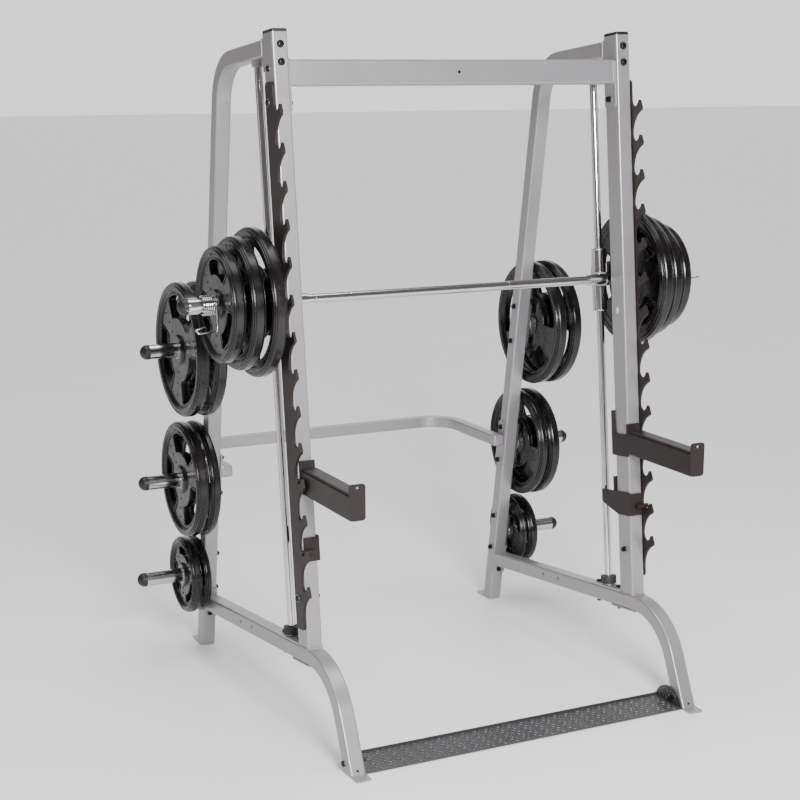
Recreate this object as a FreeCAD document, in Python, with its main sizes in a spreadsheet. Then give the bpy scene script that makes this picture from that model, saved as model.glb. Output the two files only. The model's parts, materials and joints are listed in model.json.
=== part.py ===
import FreeCAD, Part
import math
import os

import Sketcher
from FreeCAD import Placement, Rotation, Vector

# Smith machine with gun racks, spotter arms, plate storage pegs and a rear brace.
# Two frames are used.  World: X along the bar, Y from front to back, Z up, origin on the floor
# below the middle.  Rack: X the same, Y (called b) measured back from the front face of the
# uprights, Z (called h) measured up the uprights from the top of the base tubes.  The whole rack
# leans back by the tilt angle about X, so every rack piece carries the same Placement.

SIZES = [
    ("tilt", 6, "lean of the rack in degrees"),
    ("rack_y", -490.2, "rack origin, front to back"),
    ("rack_z", 299.7, "rack origin, height of the base tube top"),
    ("tube", 50, "side of the square frame tube"),
    ("wall", 3, "wall of the frame tube"),
    ("corner", 6, "outer corner radius of the tube"),
    ("gap_half", 567, "middle plane to the inner face of an upright"),
    ("upright_depth", 75, "upright, front to back"),
    ("upright_len", 1840, "upright length"),
    ("flange", 6, "welded flange plate thickness"),
    ("beam_depth", 50, "crossbeam, front to back"),
    ("beam_tall", 75, "crossbeam height"),
    ("beam_h", 1688, "underside of the crossbeam"),
    ("rack_thick", 8, "hook plate thickness"),
    ("rack_depth", 58, "hook plate depth behind the upright face"),
    ("rack_low", 60, "lower end of the hook plate"),
    ("rack_high", 1699, "upper end of the hook plate"),
    ("pitch", 109.7, "spacing of hooks and latch slots"),
    ("hook_count", 14, "hooks on each side"),
    ("hook_top", 1612.5, "bottom of the highest notch"),
    ("rod_dia", 25, "guide rod diameter"),
    ("rod_b", 183, "guide rod axis behind the upright face"),
    ("rod_top", 1777, "top of the guide rod"),
    ("housing_dia", 48, "bearing housing diameter"),
    ("housing_len", 204, "bearing housing length"),
    ("bearing_dia", 40, "linear bearing outer diameter"),
    ("bearing_len", 80, "one linear bearing"),
    ("bar_b", 118, "bar axis behind the upright face"),
    ("bar_h", 1060, "bar axis at rest"),
    ("bar_dia", 28, "bar diameter"),
    ("bar_half", 915, "half of the bar's length"),
    ("collar_dia", 36, "collar on the bar beside the carriage"),
    ("running", 0.15, "running clearance on a diameter"),
    ("lug_thick", 14, "carriage lug thickness"),
    ("lug_radius", 22, "carriage lug radius round the bar"),
    ("finger_wide", 14, "latch finger width"),
    ("finger_reach", 58, "latch finger reach from the bar axis"),
    ("finger_thick", 14, "latch finger thickness"),
    ("nose", 10, "latch nose height"),
    ("slot_wide", 17, "latch slot width"),
    ("slot_below", 9, "latch slot below the bar axis"),
    ("slot_above", 52, "latch slot above the bar axis"),
    ("sleeve_dia", 50, "loading sleeve diameter"),
    ("sleeve_in", 655, "inner end of the loading sleeve"),
    ("sleeve_out", 889, "outer end of the loading sleeve"),
    ("peg_dia", 49, "storage peg diameter"),
    ("peg_tip", 852, "end of the storage peg's cap"),
    ("peg_cap", 30, "peg end cap length"),
    ("peg_bolt", 66, "peg bolt distance from its axis"),
    ("plate_bore", 51.5, "bore of a weight plate"),
    ("rear_slope", 9.385, "rear leg from the vertical, degrees"),
    ("leg_slope", 25, "front leg from the vertical, degrees"),
    ("rear_bend", 155, "rear frame bend radius, centreline"),
    ("front_bend", 215, "base frame bend radius, centreline"),
    ("brace_tube", 40, "rear brace tube side"),
    ("brace_bend", 120, "rear brace bend radius, centreline"),
    ("brace_y", 823.5, "rear brace cross run"),
    ("brace_z", 662, "rear brace height"),
    ("arm_front", -793.5, "front end of the spotter arm tube"),
    ("arm_z", 780, "underside of the spotter arm"),
    ("arm_tall", 75, "spotter arm tube height"),
    ("catch_gap", 0.4, "gap between a catch bracket and the upright"),
    ("catch_thick", 7.6, "catch bracket plate thickness"),
    ("pin_dia", 16, "catch pin that sits in a notch"),
    ("foot_thick", 5, "floor plate under a leg"),
    ("bolt_dia", 10, "common bolt"),
    ("big_bolt_dia", 12, "bolt through an upright"),
    ("hole_play", 0.6, "bolt hole over bolt diameter"),
    ("tread_thick", 4, "foot bar sheet thickness"),
    ("tread_gap", 0.3, "gap between the foot bar and each leg"),
    ("tread_front", -797, "front edge of the foot bar"),
    ("tread_rear", -650, "rear edge of the foot bar"),
    ("wire_dia", 5, "spring collar wire"),
    ("top_bolt_high", 1804.6, "upper of the two bolts through the upright's front face"),
    ("top_bolt_low", 1753.6, "lower of those two bolts"),
    ("side_bolt_h", 1738.4, "bolt through the crossbeam flange, near the top"),
    ("rack_bolt_high", 1640, "upper bolt of a hook plate"),
    ("rack_bolt_low", 156, "lower bolt of a hook plate"),
    ("clamp_thick", 5, "clamp plate under the base tube"),
    ("rear_bolt_z", 130, "bolt that joins the base tube to the rear leg, height"),
    ("rear_foot_y", 495.9, "front face of the rear leg at the floor"),
    ("run_flange_h", 1732, "lower edge of the rear frame's front flange"),
    ("run_flange_tall", 95, "height of that flange"),
    ("joint_z", 170, "middle of the base tube's rear flange, height"),
    ("peg_plate_tall", 172, "plate behind a storage peg, height"),
    ("plate_corner", 9, "corner radius of the bolting plates"),
    ("toe_y", -843.5, "front edge of a front floor plate"),
    ("toe_hole_y", -824, "anchor hole in a front floor plate"),
    ("lug_inner_x", 570, "inner carriage lug, inner face"),
    ("lug_outer_x", 600, "outer carriage lug, inner face"),
    ("bumper_dia", 54, "rubber bumper diameter"),
    ("cheek_thick", 5, "cheek of a catch bracket"),
    ("arm_shift", 6, "arm tube's inner face, inboard of the upright's"),
    ("clip_x", 812, "inner end of a spring collar"),
]

doc = FreeCAD.newDocument("smith_machine")
sheet = doc.addObject("Spreadsheet::Sheet", "dims")
for row, (alias, value, note) in enumerate(SIZES, start=1):
    sheet.set(f"A{row}", note)
    sheet.set(f"B{row}", str(value))
    sheet.setAlias(f"B{row}", alias)
doc.recompute()


class Sheet:
    """Reads a driving size by its alias, as a number."""

    def __getattr__(self, alias):
        return float(sheet.get(alias))


D = Sheet()
WORLD = Placement()
RACK = Placement(Vector(0, D.rack_y, D.rack_z), Rotation(Vector(1, 0, 0), -D.tilt))
SIDES = (("left", -1), ("right", 1))
MID_X = D.gap_half + D.tube / 2
PEGS = (("upper", 336.5, 1110), ("mid", 413.5, 645), ("low", 472.5, 284.5))    # name, y and z of the axis
FOOT_BOLT = (-752, 28)    # y and z
WASHER_THICK = 1.8
NUT_TALL = 8
HOLE_LOOSE = 0.1    # radial room round a rod in a fixed collar
parts = []


def keep(obj, label, place=None):
    """Registers an object as a finished sub-part under its own name."""
    obj.Label = label
    if place is not None:
        obj.Placement = place
    parts.append(obj)
    return obj


def bind(obj, **texts):
    """Binds properties to spreadsheet expressions; a double underscore stands for a dot."""
    for prop, text in texts.items():
        obj.setExpression(prop.replace("__", "."), str(text))
    return obj


def box(name, lengths, corner):
    """A box whose three lengths and low corner are expressions."""
    obj = doc.addObject("Part::Box", name)
    bind(obj, Length=lengths[0], Width=lengths[1], Height=lengths[2])
    bind(obj, Placement__Base__x=corner[0], Placement__Base__y=corner[1], Placement__Base__z=corner[2])
    return obj


AXES = {
    "x": Rotation(Vector(0, 1, 0), 90),
    "y": Rotation(Vector(1, 0, 0), -90),
    "z": Rotation(),
}


def rod(name, radius, length, start, axis="z"):
    """A cylinder whose radius, length and start are expressions, along +x, +y or +z."""
    obj = doc.addObject("Part::Cylinder", name)
    obj.Placement = Placement(Vector(), AXES[axis])
    bind(obj, Radius=radius, Height=length)
    bind(obj, Placement__Base__x=start[0], Placement__Base__y=start[1], Placement__Base__z=start[2])
    return obj


def fuse(name, shapes):
    obj = doc.addObject("Part::MultiFuse", name)
    obj.Shapes = shapes
    return obj


def cut(name, base, tools):
    """Base less every tool."""
    tool = tools[0]
    if len(tools) > 1:
        tool = doc.addObject("Part::Compound", name + "_tools")
        tool.Links = tools
    obj = doc.addObject("Part::Cut", name)
    obj.Base = base
    obj.Tool = tool
    return obj


def group(name, shapes):
    obj = doc.addObject("Part::Compound", name)
    obj.Links = shapes
    return obj


def mirror(name, source):
    """The same piece on the other side of the middle plane."""
    obj = doc.addObject("Part::Mirroring", name)
    obj.Source = source
    obj.Normal = Vector(1, 0, 0)
    obj.Base = Vector()
    return obj


def rounded(name, base, radius, axis):
    """Rounds the straight edges of a shape that run along one axis."""
    doc.recompute()
    picked = []
    for index, edge in enumerate(base.Shape.Edges, start=1):
        if len(edge.Vertexes) == 2 and edge.Curve.TypeId == "Part::GeomLine":
            run = edge.Vertexes[1].Point - edge.Vertexes[0].Point
            if abs(abs(run.normalize().dot(axis)) - 1) < 1e-6:
                picked.append((index, radius, radius))
    obj = doc.addObject("Part::Fillet", name)
    obj.Base = base
    obj.Edges = picked
    return obj


def feature(name, shape, place=None):
    """A shape made with Part's own functions, where no primitive fits."""
    obj = doc.addObject("Part::Feature", name)
    obj.Shape = shape
    if place is not None:
        obj.Placement = place
    return obj


def rack_box(name, lengths, corner):
    """A plain box in the rack frame, as a world shape."""
    return feature(name, Part.makeBox(*lengths, Vector(*corner)), RACK)


# ---------------------------------------------------------------- swept tubes

def rounded_square(side, radius):
    """A closed square outline with round corners about the origin of the XY plane."""
    half = side / 2
    inner = half - radius
    edges = []
    for turn in range(4):
        spin = Rotation(Vector(0, 0, 1), 90 * turn)
        middle = Vector(math.cos(math.pi / 4), math.sin(math.pi / 4), 0) * radius
        centre = Vector(inner, inner, 0)
        side_start = spin.multVec(Vector(half, -inner, 0))
        side_end = spin.multVec(Vector(half, inner, 0))
        arc_end = spin.multVec(Vector(inner, half, 0))
        edges.append(Part.LineSegment(side_start, side_end).toShape())
        edges.append(Part.Arc(side_end, spin.multVec(centre + middle), arc_end).toShape())
    return Part.Wire(edges)


def bent_path(points, radius):
    """Straight runs through the points, joined by tangent arcs of one radius."""
    edges = []
    start = points[0]
    for before, here, after in zip(points, points[1:], points[2:]):
        inward = (before - here).normalize()
        onward = (after - here).normalize()
        half = inward.getAngle(onward) / 2
        reach = radius / math.tan(half)
        arc_start = here + inward * reach
        arc_end = here + onward * reach
        bisector = (inward + onward).normalize()
        middle = here + bisector * (radius / math.sin(half) - radius)
        edges.append(Part.LineSegment(start, arc_start).toShape())
        edges.append(Part.Arc(arc_start, middle, arc_end).toShape())
        start = arc_end
    edges.append(Part.LineSegment(start, points[-1]).toShape())
    return Part.Wire(edges)


def bent_tube(points, bend, side, wall, corner):
    """A hollow square tube along a path that lies in a plane through one tube side."""
    path = bent_path(points, bend)
    along = points[1] - points[0]
    across = Vector(1, 0, 0)
    turn = Rotation(across, along.cross(across), along.normalize(), "ZXY")
    solids = []
    for width, radius in ((side, corner), (side - 2 * wall, corner - wall)):
        outline = rounded_square(width, radius)
        outline.Placement = Placement(points[0], turn)
        solids.append(path.makePipeShell([outline], True, False))
    return solids[0].cut(solids[1])


# ---------------------------------------------------------------- bolts

bolt_rows = []


def add_bolt(place, start, axis, grip, diameter, sides=SIDES):
    """Notes a bolt: its head face, the way it points, and how much it clamps."""
    for _, sign in sides:
        point = Vector(start[0] * sign, start[1], start[2])
        way = Vector(axis[0] * sign, axis[1], axis[2])
        bolt_rows.append((place.multVec(point), place.Rotation.multVec(way), grip, diameter))


def list_bolts():
    upright_mid = D.upright_depth / 2
    outer = D.gap_half + D.tube
    through = D.upright_depth + D.flange
    for h in (D.top_bolt_high, D.top_bolt_low):
        add_bolt(RACK, (MID_X, 0, h), (0, 1, 0), through, D.big_bolt_dia)
    add_bolt(RACK, (outer, upright_mid, D.side_bolt_h), (-1, 0, 0), D.tube + D.flange, D.bolt_dia)
    face = outer + D.rack_thick
    grip = D.tube + D.rack_thick
    add_bolt(RACK, (face, upright_mid, D.rack_bolt_high), (-1, 0, 0), grip + D.flange, D.bolt_dia)
    add_bolt(RACK, (face, 35, D.rack_bolt_low), (-1, 0, 0), grip, D.bolt_dia)
    clamp = D.clamp_thick
    add_bolt(RACK, (MID_X, 25, -D.tube - clamp), (0, 0, 1), D.tube + clamp, D.bolt_dia)
    add_bolt(RACK, (MID_X, 120, D.flange), (0, 0, -1), D.tube + D.flange + clamp, D.bolt_dia)
    add_bolt(RACK, (MID_X, 245, D.flange), (0, 0, -1), D.tube + D.flange, D.bolt_dia)
    slope = math.radians(D.rear_slope)
    back = Vector(0, math.cos(slope), math.sin(slope))
    head = Vector(MID_X, leg_front(D.rear_bolt_z), D.rear_bolt_z) - back * D.flange
    add_bolt(WORLD, tuple(head), tuple(back), D.tube + D.flange, D.bolt_dia)
    up = Vector(0, -math.sin(slope), math.cos(slope))
    for name, y, z in PEGS:
        extra = D.flange if name == "mid" else 0
        for way in (-1, 1):
            spot = Vector(outer + D.flange, y, z) + up * (way * D.peg_bolt)
            add_bolt(WORLD, tuple(spot), (-1, 0, 0), D.tube + D.flange + extra, D.bolt_dia)
    add_bolt(WORLD, (outer, *FOOT_BOLT), (-1, 0, 0), D.tube + D.tread_thick + D.tread_gap, D.bolt_dia)


def leg_front(z):
    """Front face of the rear legs at a height in the world."""
    return D.rear_foot_y - math.tan(math.radians(D.rear_slope)) * z


def bolt_place(point, way):
    return Placement(point, Rotation(Vector(0, 0, 1), way))


def bolt_shape(grip, diameter):
    """Domed head below z = 0 and a threaded shank that reaches past the nut."""
    head = 0.95 * diameter
    tall = 0.6 * diameter
    base = -WASHER_THICK
    disc = Part.makeCylinder(head, tall, Vector(0, 0, base - tall))
    rims = [edge for edge in disc.Edges if edge.BoundBox.ZMax < base - tall + 0.01]
    disc = disc.makeFillet(0.9 * tall, rims)
    socket_across = 0.55 * diameter
    socket = hex_prism(socket_across, tall / 2)
    socket.translate(Vector(0, 0, base - tall - 0.01))
    length = grip + 2 * WASHER_THICK + NUT_TALL + 4
    shank = Part.makeCylinder(diameter / 2, length, Vector(0, 0, base))
    return disc.cut(socket).fuse(shank)


def hex_prism(across, tall):
    corner = across / math.sqrt(3)
    points = [Vector(corner * math.cos(math.radians(60 * k)), corner * math.sin(math.radians(60 * k)), 0)
              for k in range(7)]
    return Part.Face(Part.makePolygon(points)).extrude(Vector(0, 0, tall))


def washer_shape(diameter, z):
    ring = Part.makeCylinder(1.15 * diameter, WASHER_THICK, Vector(0, 0, z))
    return ring.cut(Part.makeCylinder(diameter / 2 + 0.2, WASHER_THICK, Vector(0, 0, z)))


def nut_shape(diameter, z):
    nut = hex_prism(1.7 * diameter, NUT_TALL)
    nut = nut.common(Part.makeSphere(1.12 * diameter, Vector(0, 0, NUT_TALL / 2)))
    nut = nut.cut(Part.makeCylinder(diameter / 2 + 0.2, NUT_TALL))
    nut.translate(Vector(0, 0, z))
    return nut


def make_fasteners():
    bolts, washers, nuts, holes = [], [], [], []
    for point, way, grip, diameter in bolt_rows:
        place = bolt_place(point, way)
        ring = washer_shape(diameter, -WASHER_THICK)
        far_ring = washer_shape(diameter, grip)
        shapes = (
            (bolts, bolt_shape(grip, diameter)),
            (washers, ring),
            (washers, far_ring),
            (nuts, nut_shape(diameter, grip + WASHER_THICK)),
            (holes, Part.makeCylinder((diameter + D.hole_play) / 2, grip + 2, Vector(0, 0, -1))),
        )
        for target, shape in shapes:
            shape.Placement = place.multiply(shape.Placement)
            target.append(shape)
    keep(feature("frame_bolts", Part.makeCompound(bolts)), "frame_bolts")
    keep(feature("frame_washers", Part.makeCompound(washers)), "frame_washers")
    keep(feature("frame_nuts", Part.makeCompound(nuts)), "frame_nuts")
    return feature("bolt_holes", Part.makeCompound(holes))


# ---------------------------------------------------------------- fixed frame

def straight_tube(name, lengths, corner, along):
    """A square tube with round corners; lengths and corner are expressions."""
    outer = rounded(name + "_outer", box(name + "_skin", lengths, corner), D.corner, along)
    inner_sizes, inner_corner = [], []
    for text, start, axis in zip(lengths, corner, along):
        open_end = abs(axis) > 0.5
        inner_sizes.append(f"{text} + 2" if open_end else f"{text} - 2 * dims.wall")
        inner_corner.append(f"{start} - 1" if open_end else f"{start} + dims.wall")
    hollow = box(name + "_inside", inner_sizes, inner_corner)
    inner = rounded(name + "_hollow", hollow, D.corner - D.wall, along)
    return cut(name + "_tube", outer, [inner])


def make_uprights(holes):
    """Two uprights, each with a row of latch slots in its rear wall."""
    tube = straight_tube(
        "upright",
        ("dims.tube", "dims.upright_depth", "dims.upright_len"),
        ("dims.gap_half", "0", "0"),
        Vector(0, 0, 1),
    )
    slots = []
    for step in range(-8, 6):
        low = f"dims.bar_h + ({step}) * dims.pitch - dims.slot_below"
        slots.append(box(
            f"latch_slot_{step + 9}",
            ("dims.slot_wide", "dims.wall + 4", "dims.slot_below + dims.slot_above"),
            ("dims.gap_half + (dims.tube - dims.slot_wide) / 2", "dims.upright_depth - dims.wall - 2", low),
        ))
    slotted = cut("upright_slotted", tube, slots)
    slotted.Placement = RACK
    right = cut("upright_drilled", slotted, [holes])
    keep(right, "right_upright")
    keep(mirror("upright_mirror", right), "left_upright")


def make_upright_caps():
    """Domed plastic caps with a skirt that plugs into the tube."""
    lid = box("cap_lid", ("dims.tube", "dims.upright_depth", "10"),
              ("dims.gap_half", "0", "dims.upright_len"))
    lid_round = rounded("cap_lid_round", lid, D.corner, Vector(0, 0, 1))
    doc.recompute()
    dome = doc.addObject("Part::Fillet", "cap_dome")
    dome.Base = lid_round
    top = lid_round.Shape.BoundBox.ZMax
    dome.Edges = [(index, 5, 5) for index, edge in enumerate(lid_round.Shape.Edges, start=1)
                  if edge.BoundBox.ZMin > top - 0.01]
    skirt = box("cap_skirt",
                ("dims.tube - 2 * dims.wall - 0.4", "dims.upright_depth - 2 * dims.wall - 0.4", "18"),
                ("dims.gap_half + dims.wall + 0.2", "dims.wall + 0.2", "dims.upright_len - 18"))
    skirt_round = rounded("cap_skirt_round", skirt, D.corner - D.wall, Vector(0, 0, 1))
    right = fuse("cap_right", [dome, skirt_round])
    keep(group("caps", [right, mirror("cap_left", right)]), "upright_caps", RACK)


def rear_leg_centre(z):
    slope = math.radians(D.rear_slope)
    return leg_front(z) + D.tube / 2 / math.cos(slope)


def welded_plate(name, tall, start_x, low, spot):
    """A bolting plate with round corners, square to X, that follows the rear leg's slope."""
    plate = Part.makeBox(D.flange, D.tube, tall, Vector(start_x, -D.tube / 2, low))
    plate = plate.makeFillet(D.plate_corner, [e for e in plate.Edges if e.BoundBox.XLength > 1])
    return feature(name, plate, leg_place(*spot))


def leg_place(y, z):
    """Placement of things that lean with the rear leg."""
    return Placement(Vector(0, y, z), Rotation(Vector(1, 0, 0), D.rear_slope))


def make_rear_frames(holes):
    """Forward run on the upright, one bend, and a leg down to the floor plate."""
    run_h = D.rod_top + D.tube / 2
    start = RACK.multVec(Vector(MID_X, D.upright_depth + D.flange, run_h))
    flat = RACK.Rotation.multVec(Vector(0, 1, 0))
    slope = math.radians(D.rear_slope)
    down = Vector(0, math.sin(slope), -math.cos(slope))
    foot = Vector(MID_X, rear_leg_centre(0), 0)
    # corner where the run's line meets the leg's line
    gap = foot - start
    along = (gap.y * down.z - gap.z * down.y) / (flat.y * down.z - flat.z * down.y)
    corner = start + flat * along
    shape = bent_tube([start, corner, foot + down * 40], D.rear_bend, D.tube, D.wall, D.corner)
    floor = Part.makeBox(200, 400, 200, Vector(MID_X - 100, foot.y - 200, -200 + D.foot_thick))
    tube = feature("rear_tube", shape.cut(floor))
    flange = rack_box("rear_flange", (D.tube, D.flange, D.run_flange_tall),
                      (D.gap_half, D.upright_depth, D.run_flange_h))
    sole = box("rear_sole", ("dims.tube", "101.5", "dims.foot_thick"), ("dims.gap_half", "500", "0"))
    sole_round = rounded("rear_sole_round", sole, 8, Vector(0, 0, 1))
    whole = fuse("rear_welded", [tube, flange, sole_round])
    right = cut("rear_drilled", whole, [holes])
    keep(right, "right_rear_frame")
    keep(mirror("rear_mirror", right), "left_rear_frame")


def make_base_frames(holes):
    """Side tube, bend and front leg in one tube, with a rear flange and a floor plate."""
    slope = math.radians(D.leg_slope)
    mid_h = -D.tube / 2
    rear = Vector(MID_X, 990, mid_h)
    turn = math.radians(90 - (D.leg_slope - D.tilt))
    bend_b = 5
    corner_b = bend_b - D.front_bend * math.tan(turn / 2)
    way = Vector(0, -math.cos(turn), -math.sin(turn))
    corner = Vector(MID_X, corner_b, mid_h)
    end = corner + way * 420
    path = [RACK.multVec(p) for p in (rear, corner, end)]
    shape = bent_tube(path, D.front_bend, D.tube, D.wall, D.corner)
    floor = Part.makeBox(200, 400, 200, Vector(MID_X - 100, -950, -200 + D.foot_thick))
    trim = Part.makeBox(200, 200, 300, Vector(MID_X - 100, -D.flange, -150))
    joint = leg_place(leg_front(D.joint_z), D.joint_z)
    trim.Placement = joint
    spots = ((587, 5), (483, 5), (535, 2))
    drills = []
    for b, radius in spots:
        drill = Part.makeCylinder(radius, D.tube + 4, Vector(D.gap_half - 2, b, -22), Vector(1, 0, 0))
        drill.Placement = RACK
        drills.append(drill)
    toe_hole = Part.makeCylinder(4, 30, Vector(MID_X, -815, 16), Vector(0, 1, 0))
    tube = feature("base_tube", shape.cut([floor, trim, toe_hole] + drills))
    plate = Part.makeBox(D.tube, D.flange, 112, Vector(D.gap_half, -D.flange, -58))
    plate = plate.makeFillet(D.plate_corner, [e for e in plate.Edges if e.BoundBox.XLength < 0.01
                                              and e.BoundBox.YLength > 1 and e.BoundBox.ZMax < -50])
    flange = feature("base_flange", plate, joint)
    sole = box("front_sole", ("dims.tube", "106", "dims.foot_thick"), ("dims.gap_half", "dims.toe_y", "0"))
    sole_round = rounded("front_sole_round", sole, 8, Vector(0, 0, 1))
    toe_bolt = rod("front_sole_hole", "5", "dims.foot_thick + 2",
                   ("dims.gap_half + dims.tube / 2", "dims.toe_hole_y", "-1"))
    sole_drilled = cut("front_sole_drilled", sole_round, [toe_bolt])
    whole = fuse("base_welded", [tube, flange, sole_drilled])
    right = cut("base_drilled", whole, [holes])
    keep(right, "right_base_frame")
    keep(mirror("base_mirror", right), "left_base_frame")


def make_crossbeam(holes):
    """Straight tube between the uprights with a bolting flange on each end."""
    tube = straight_tube(
        "beam",
        ("2 * (dims.gap_half - dims.flange)", "dims.beam_depth", "dims.beam_tall"),
        ("dims.flange - dims.gap_half", "(dims.upright_depth - dims.beam_depth) / 2", "dims.beam_h"),
        Vector(1, 0, 0),
    )
    flange = box("beam_flange", ("dims.flange", "60", "dims.beam_tall + 74"),
                 ("dims.gap_half - dims.flange", "7.5", "dims.beam_h - 74"))
    flange_round = rounded("beam_flange_round", flange, 8, Vector(1, 0, 0))
    hole = rod("beam_hole", "5", "20", ("0", "0", "dims.beam_h + dims.beam_tall / 2"), "y")
    whole = fuse("beam_welded", [cut("beam_holed", tube, [hole]), flange_round,
                                 mirror("beam_flange_left", flange_round)])
    whole.Placement = RACK
    keep(cut("beam_drilled", whole, [holes]), "crossbeam")


def make_brace(holes):
    """U-shaped rear brace, bolted to the inside of both rear legs."""
    side_x = D.gap_half - D.flange - D.brace_tube / 2
    front = 392
    points = [Vector(-side_x, front, D.brace_z), Vector(-side_x, D.brace_y, D.brace_z),
              Vector(side_x, D.brace_y, D.brace_z), Vector(side_x, front, D.brace_z)]
    shape = bent_tube(points, D.brace_bend, D.brace_tube, 2.5, 5)
    spot = Part.makeCylinder(4, 10, Vector(-280, D.brace_y, D.brace_z + D.brace_tube / 2 - 5))
    tube = feature("brace_tube", shape.cut(spot))
    tall = D.peg_plate_tall
    flange = welded_plate("brace_flange", tall, D.gap_half - D.flange, -tall / 2, PEGS[1][1:])
    whole = fuse("brace_welded", [tube, flange, mirror("brace_flange_left", flange)])
    keep(cut("brace_drilled", whole, [holes]), "rear_brace")


def hook_outline(bottom):
    """One hook in the rack plane: valley, raised tip, round nose and a long lower sweep."""
    valley = Vector(0, -15, bottom)
    tip = Vector(0, -49, bottom + 15)
    edges = [
        Part.Arc(Vector(0, 0, bottom + 20), Vector(0, -6, bottom + 5.5), valley).toShape(),
        Part.Arc(valley, Vector(0, -32, bottom + 3.5), Vector(0, -41, bottom + 15)).toShape(),
        Part.Arc(Vector(0, -41, bottom + 15), Vector(0, -46, bottom + 18.5), tip).toShape(),
        Part.LineSegment(tip, Vector(0, -56.5, bottom - 3)).toShape(),
        Part.Arc(Vector(0, -56.5, bottom - 3), Vector(0, -56, bottom - 11),
                 Vector(0, -49, bottom - 16)).toShape(),
        Part.Arc(Vector(0, -49, bottom - 16), Vector(0, -17, bottom - 40),
                 Vector(0, 0, bottom - 85)).toShape(),
        Part.LineSegment(Vector(0, 0, bottom - 85), Vector(0, 5, bottom - 85)).toShape(),
        Part.LineSegment(Vector(0, 5, bottom - 85), Vector(0, 5, bottom + 20)).toShape(),
        Part.LineSegment(Vector(0, 5, bottom + 20), Vector(0, 0, bottom + 20)).toShape(),
    ]
    return Part.Face(Part.Wire(edges)).extrude(Vector(D.rack_thick, 0, 0))


def make_racks(holes):
    """Flat hook plates on the outer faces of the uprights."""
    plate = box("rack_plate", ("dims.rack_thick", "dims.rack_depth", "dims.rack_high - dims.rack_low"),
                ("dims.gap_half + dims.tube", "0", "dims.rack_low"))
    plate_round = rounded("rack_plate_round", plate, 14, Vector(1, 0, 0))
    hooks = []
    for step in range(int(D.hook_count)):
        shape = hook_outline(D.hook_top - step * D.pitch)
        hooks.append(feature(f"hook_{step + 1}", shape,
                             Placement(Vector(D.gap_half + D.tube, 0, 0), Rotation())))
    whole = fuse("rack_welded", [plate_round] + hooks)
    whole.Placement = RACK
    right = cut("rack_drilled", whole, [holes])
    keep(right, "right_hook_rack")
    keep(mirror("rack_mirror", right), "left_hook_rack")


def make_guides(holes):
    """Guide rods with their foot plates, top collars and rubber bumpers."""
    x = "dims.gap_half + dims.tube / 2"
    loose = f"dims.rod_dia / 2 + {HOLE_LOOSE}"
    shaft = doc.addObject("Part::Cylinder", "guide_shaft")
    bind(shaft, Radius="dims.rod_dia / 2", Height="dims.rod_top - dims.flange")
    keep(shaft, "right_guide_rod", RACK.multiply(Placement(Vector(MID_X, D.rod_b, D.flange), Rotation())))
    keep(mirror("guide_mirror", shaft), "left_guide_rod")

    plate = box("rod_foot", ("dims.tube", "185", "dims.flange"), ("dims.gap_half", "dims.upright_depth", "0"))
    plate_round = rounded("rod_foot_round", plate, 4, Vector(0, 0, 1))
    ring = rod("rod_foot_ring", "19", "6", (x, "dims.rod_b", "dims.flange"))
    bore = rod("rod_foot_bore", loose, "20", (x, "dims.rod_b", "dims.flange"))
    foot = cut("rod_foot_bored", fuse("rod_foot_welded", [plate_round, ring]), [bore])
    foot.Placement = RACK
    right = cut("rod_foot_drilled", foot, [holes])
    keep(group("rod_feet", [right, mirror("rod_foot_left", right)]), "rod_foot_plates")

    collar = cut("top_collar", rod("top_collar_body", "19", "20", (x, "dims.rod_b", "dims.rod_top - 20")),
                 [rod("top_collar_bore", loose, "30", (x, "dims.rod_b", "dims.rod_top - 25"))])
    keep(group("top_collars", [collar, mirror("top_collar_left", collar)]), "rod_top_collars", RACK)

    body = rod("bumper_body", "dims.bumper_dia / 2", "25", (x, "dims.rod_b", "12"))
    tools = [rod("bumper_bore", loose, "40", (x, "dims.rod_b", "5"))]
    for level in (18, 24.5, 31):
        ring = doc.addObject("Part::Torus", f"bumper_groove_{int(level)}")
        bind(ring, Radius1="dims.bumper_dia / 2 + 0.6", Radius2="1.6")
        bind(ring, Placement__Base__x=x, Placement__Base__y="dims.rod_b", Placement__Base__z=level)
        tools.append(ring)
    bumper = cut("bumper", body, tools)
    keep(bumper, "right_rubber_bumper", RACK)
    keep(mirror("bumper_left", bumper), "left_rubber_bumper")

    clamp = box("clamp_body", ("dims.tube", "130", "dims.clamp_thick"),
                ("dims.gap_half", "5", "-dims.tube - dims.clamp_thick"))
    clamp_round = rounded("clamp_round", clamp, 6, Vector(0, 0, 1))
    clamp_round.Placement = RACK
    right = cut("clamp_drilled", clamp_round, [holes])
    keep(group("clamps", [right, mirror("clamp_left", right)]), "base_clamp_plates")


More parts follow.
